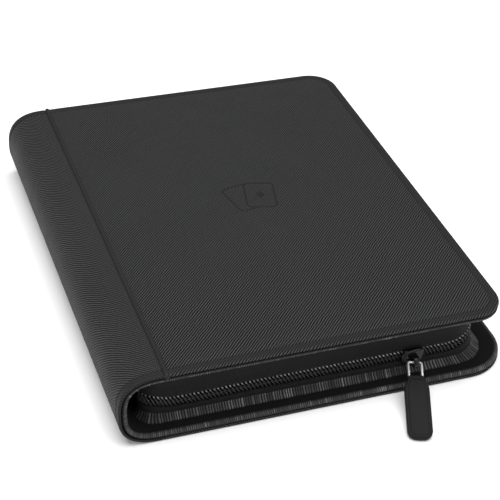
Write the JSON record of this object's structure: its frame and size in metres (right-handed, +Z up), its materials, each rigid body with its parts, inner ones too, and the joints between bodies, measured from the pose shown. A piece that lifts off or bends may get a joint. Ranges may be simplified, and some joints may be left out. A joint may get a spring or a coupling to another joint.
{
  "type": "trading card binder",
  "caption": "Zip-around trading card binder with stiff leather-look covers, a soft rounded spine, side-loading clear pocket leaves, an inset zip gusset and a moulded zip pull.",
  "frame": {"origin": "on the back cover's underside, on the surface the closed binder lies on, midway from tail to head and 100 mm in from the spine's outer face", "axes": "+X from the spine to the fore-edge, +Y from the tail to the head, +Z up from the back cover to the front cover"},
  "size_m": [0.208, 0.282, 0.0395],
  "materials": {
    "cover_leather": "black cross-grained coated leather cloth, satin",
    "grey_board": "solid grey board",
    "lining_fabric": "black woven lining",
    "ribbed_binding": "black ribbed binding tape",
    "woven_tape": "black woven tape",
    "coil_nylon": "black nylon coil",
    "slider_enamel": "black enamel",
    "link_steel": "bright plated wire",
    "pull_rubber": "matt moulded rubber",
    "leaf_core": "black sheet",
    "pocket_film": "clear soft film"
  },
  "bodies": {
    "back_cover": {"back_skin": "cover_leather", "back_board": "grey_board", "back_lining": "lining_fabric", "back_edge_binding": "ribbed_binding", "back_seam_welt": "cover_leather", "lower_gusset_strip": "cover_leather", "lower_gusset_binding": "ribbed_binding", "lower_zip_tape": "woven_tape", "lower_zip_coil": "coil_nylon", "zip_end_stops": "coil_nylon"},
    "spine": {"spine_skin": "cover_leather", "spine_board": "grey_board", "spine_lining": "lining_fabric", "page_binding_strip": "woven_tape", "page_guards": "woven_tape"},
    "front_cover": {"front_skin": "cover_leather", "front_board": "grey_board", "front_lining": "lining_fabric", "front_edge_binding": "ribbed_binding", "front_seam_welt": "cover_leather", "upper_gusset_strip": "cover_leather", "upper_gusset_binding": "ribbed_binding", "upper_zip_tape": "woven_tape", "upper_zip_coil": "coil_nylon"},
    "zip_slider": {"slider_body": "slider_enamel", "slider_bail": "slider_enamel"},
    "zip_pull": {"pull_link": "link_steel", "pull_tab": "pull_rubber"},
    "leaf_01": {"leaf_01_core": "leaf_core", "leaf_01_pockets": "pocket_film"},
    "leaf_02": {"leaf_02_core": "leaf_core", "leaf_02_pockets": "pocket_film"},
    "leaf_03": {"leaf_03_core": "leaf_core", "leaf_03_pockets": "pocket_film"},
    "leaf_04": {"leaf_04_core": "leaf_core", "leaf_04_pockets": "pocket_film"},
    "leaf_05": {"leaf_05_core": "leaf_core", "leaf_05_pockets": "pocket_film"},
    "leaf_06": {"leaf_06_core": "leaf_core", "leaf_06_pockets": "pocket_film"},
    "leaf_07": {"leaf_07_core": "leaf_core", "leaf_07_pockets": "pocket_film"},
    "leaf_08": {"leaf_08_core": "leaf_core", "leaf_08_pockets": "pocket_film"},
    "leaf_09": {"leaf_09_core": "leaf_core", "leaf_09_pockets": "pocket_film"},
    "leaf_10": {"leaf_10_core": "leaf_core", "leaf_10_pockets": "pocket_film"},
    "leaf_11": {"leaf_11_core": "leaf_core", "leaf_11_pockets": "pocket_film"},
    "leaf_12": {"leaf_12_core": "leaf_core", "leaf_12_pockets": "pocket_film"},
    "leaf_13": {"leaf_13_core": "leaf_core", "leaf_13_pockets": "pocket_film"},
    "leaf_14": {"leaf_14_core": "leaf_core", "leaf_14_pockets": "pocket_film"},
    "leaf_15": {"leaf_15_core": "leaf_core", "leaf_15_pockets": "pocket_film"},
    "leaf_16": {"leaf_16_core": "leaf_core", "leaf_16_pockets": "pocket_film"}
  },
  "joints": [
    {"name": "spine_hinge", "type": "hinge", "parent": "back_cover", "child": "spine", "pos_m": [-0.0955, 0, 0.0045], "axis": [0, -1, 0], "range_deg": [0, 90], "deforming": ["page_guards"]},
    {"name": "cover_hinge", "type": "hinge", "parent": "spine", "child": "front_cover", "pos_m": [-0.0955, 0, 0.0345], "axis": [0, -1, 0], "range_deg": [0, 90], "deforming": ["spine_skin"]},
    {"name": "leaf_01_turn", "type": "hinge", "parent": "spine", "child": "leaf_01", "pos_m": [-0.0945, 0, 0.0055], "axis": [0, -1, 0], "range_deg": [-90.01, 0]},
    {"name": "leaf_02_turn", "type": "hinge", "parent": "spine", "child": "leaf_02", "pos_m": [-0.09339, 0, 0.00661], "axis": [0, -1, 0], "range_deg": [-89.62, 0]},
    {"name": "leaf_03_turn", "type": "hinge", "parent": "spine", "child": "leaf_03", "pos_m": [-0.09227, 0, 0.00773], "axis": [0, -1, 0], "range_deg": [-89.24, 0]},
    {"name": "leaf_04_turn", "type": "hinge", "parent": "spine", "child": "leaf_04", "pos_m": [-0.09115, 0, 0.00885], "axis": [0, -1, 0], "range_deg": [-88.85, 0]},
    {"name": "leaf_05_turn", "type": "hinge", "parent": "spine", "child": "leaf_05", "pos_m": [-0.09004, 0, 0.00996], "axis": [0, -1, 0], "range_deg": [-88.47, 0]},
    {"name": "leaf_06_turn", "type": "hinge", "parent": "spine", "child": "leaf_06", "pos_m": [-0.08892, 0, 0.01108], "axis": [0, -1, 0], "range_deg": [-88.08, 0]},
    {"name": "leaf_07_turn", "type": "hinge", "parent": "spine", "child": "leaf_07", "pos_m": [-0.0878, 0, 0.0122], "axis": [0, -1, 0], "range_deg": [-87.7, 0]},
    {"name": "leaf_08_turn", "type": "hinge", "parent": "spine", "child": "leaf_08", "pos_m": [-0.08668, 0, 0.01332], "axis": [0, -1, 0], "range_deg": [-87.31, 0]},
    {"name": "leaf_09_turn", "type": "hinge", "parent": "spine", "child": "leaf_09", "pos_m": [-0.08668, 0, 0.02568], "axis": [0, -1, 0], "range_deg": [0, 87.31]},
    {"name": "leaf_10_turn", "type": "hinge", "parent": "spine", "child": "leaf_10", "pos_m": [-0.0878, 0, 0.0268], "axis": [0, -1, 0], "range_deg": [0, 87.7]},
    {"name": "leaf_11_turn", "type": "hinge", "parent": "spine", "child": "leaf_11", "pos_m": [-0.08892, 0, 0.02792], "axis": [0, -1, 0], "range_deg": [0, 88.08]},
    {"name": "leaf_12_turn", "type": "hinge", "parent": "spine", "child": "leaf_12", "pos_m": [-0.09004, 0, 0.02904], "axis": [0, -1, 0], "range_deg": [0, 88.47]},
    {"name": "leaf_13_turn", "type": "hinge", "parent": "spine", "child": "leaf_13", "pos_m": [-0.09115, 0, 0.03015], "axis": [0, -1, 0], "range_deg": [0, 88.85]},
    {"name": "leaf_14_turn", "type": "hinge", "parent": "spine", "child": "leaf_14", "pos_m": [-0.09227, 0, 0.03127], "axis": [0, -1, 0], "range_deg": [0, 89.24]},
    {"name": "leaf_15_turn", "type": "hinge", "parent": "spine", "child": "leaf_15", "pos_m": [-0.09339, 0, 0.03239], "axis": [0, -1, 0], "range_deg": [0, 89.62]},
    {"name": "leaf_16_turn", "type": "hinge", "parent": "spine", "child": "leaf_16", "pos_m": [-0.0945, 0, 0.0335], "axis": [0, -1, 0], "range_deg": [0, 90.01]},
    {"name": "slider_run", "type": "slide", "parent": "back_cover", "child": "zip_slider", "axis": [1, 0, 0], "range_m": [-0.123, 0.015]},
    {"name": "pull_swing", "type": "hinge", "parent": "zip_slider", "child": "zip_pull", "pos_m": [0.053, -0.118, 0.0134], "axis": [-0.9455, 0.3256, 0], "range_deg": [0, 82]}
  ],
  "couplings": [
    {"joint": "cover_hinge", "follows": "spine_hinge", "ratio": 1},
    {"joint": "leaf_01_turn", "follows": "spine_hinge", "ratio": -1},
    {"joint": "leaf_02_turn", "follows": "spine_hinge", "ratio": -0.99571},
    {"joint": "leaf_03_turn", "follows": "spine_hinge", "ratio": -0.99143},
    {"joint": "leaf_04_turn", "follows": "spine_hinge", "ratio": -0.98714},
    {"joint": "leaf_05_turn", "follows": "spine_hinge", "ratio": -0.98286},
    {"joint": "leaf_06_turn", "follows": "spine_hinge", "ratio": -0.97857},
    {"joint": "leaf_07_turn", "follows": "spine_hinge", "ratio": -0.97429},
    {"joint": "leaf_08_turn", "follows": "spine_hinge", "ratio": -0.97},
    {"joint": "leaf_09_turn", "follows": "spine_hinge", "ratio": 0.97},
    {"joint": "leaf_10_turn", "follows": "spine_hinge", "ratio": 0.97429},
    {"joint": "leaf_11_turn", "follows": "spine_hinge", "ratio": 0.97857},
    {"joint": "leaf_12_turn", "follows": "spine_hinge", "ratio": 0.98286},
    {"joint": "leaf_13_turn", "follows": "spine_hinge", "ratio": 0.98714},
    {"joint": "leaf_14_turn", "follows": "spine_hinge", "ratio": 0.99143},
    {"joint": "leaf_15_turn", "follows": "spine_hinge", "ratio": 0.99571},
    {"joint": "leaf_16_turn", "follows": "spine_hinge", "ratio": 1}
  ]
}
